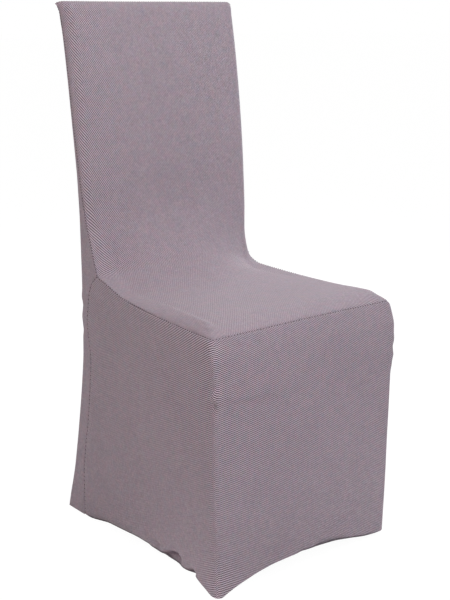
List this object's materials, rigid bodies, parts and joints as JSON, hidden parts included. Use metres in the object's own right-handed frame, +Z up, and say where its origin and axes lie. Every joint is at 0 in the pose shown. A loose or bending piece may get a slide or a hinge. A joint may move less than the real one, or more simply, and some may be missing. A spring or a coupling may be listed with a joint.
{
  "type": "stretch dining chair cover",
  "caption": "Full-length stretch knit cover for a tall-backed dining chair: a hollow shell of sewn panels, smooth over the seat, with a hem drawn up between the legs.",
  "frame": {"origin": "middle of the cover's footprint, on the floor that its hem reaches", "axes": "+Z up, -Y towards the front of the seat, +Y towards the back of the chair, X across it"},
  "size_m": [0.448, 0.5172, 1.0358],
  "materials": {
    "knit": "matt mauve-grey stretch knit with a small dotted weave"
  },
  "bodies": {
    "root": {"inside_back_and_seat": "knit", "outside_back": "knit", "skirt": "knit"}
  },
  "joints": []
}
